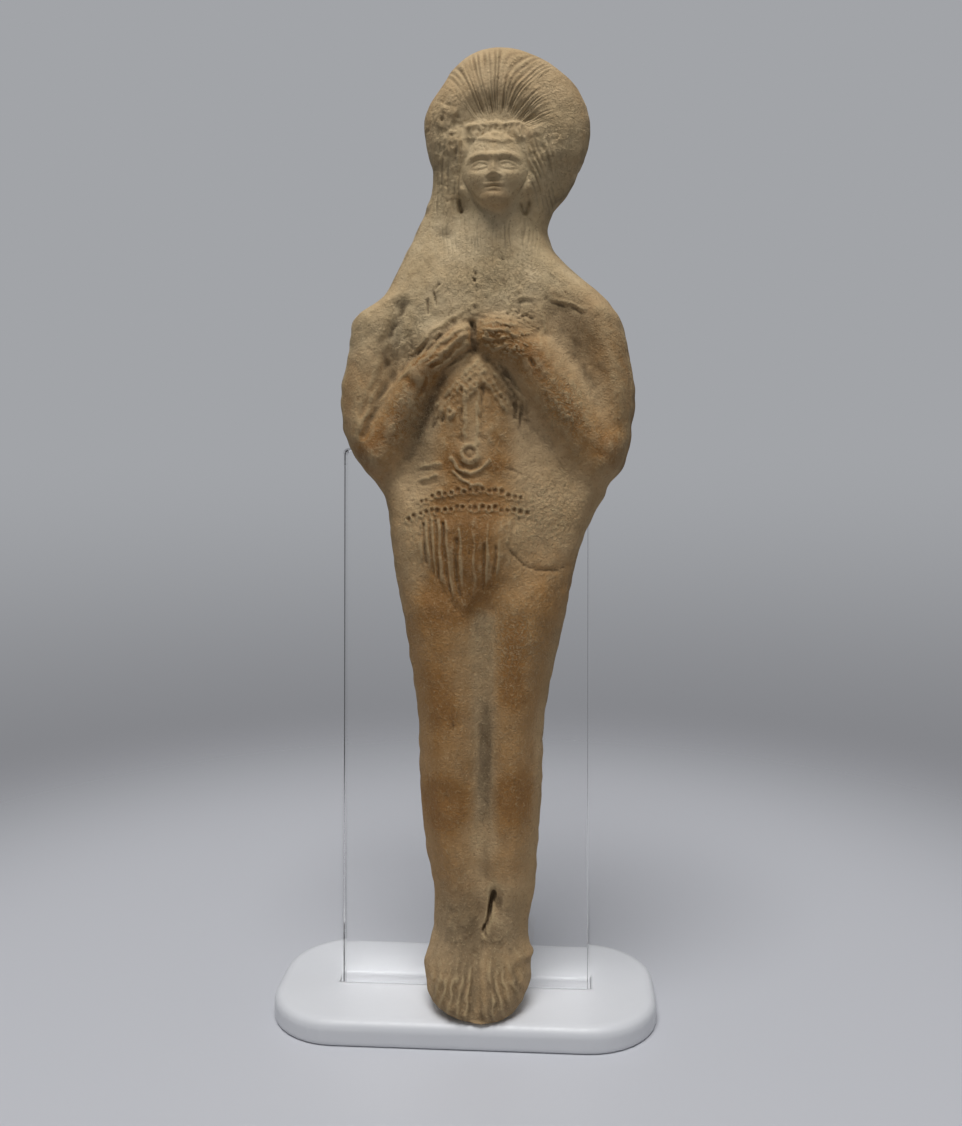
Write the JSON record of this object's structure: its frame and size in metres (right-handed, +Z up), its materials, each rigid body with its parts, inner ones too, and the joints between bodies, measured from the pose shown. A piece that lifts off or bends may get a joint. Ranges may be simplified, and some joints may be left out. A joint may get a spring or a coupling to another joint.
{
  "type": "terracotta votive figurine",
  "caption": "Flat-backed, mould-made standing figurine in worn terracotta, hands to the breasts, leaning on a clear upright plate set in a white rounded base.",
  "frame": {"origin": "centre of the base's underside", "axes": "+Z up, +X to the viewer's right along the base's long side, -Y the way the figurine faces"},
  "size_m": [0.076, 0.0377, 0.1887],
  "materials": {
    "terracotta": "fired clay, worn, with a buff surface deposit",
    "clear_acrylic": "polished, see-through",
    "white_acrylic": "satin white"
  },
  "bodies": {
    "root": {"terracotta_figurine": "terracotta", "acrylic_plate": "clear_acrylic", "white_base": "white_acrylic"}
  },
  "joints": []
}
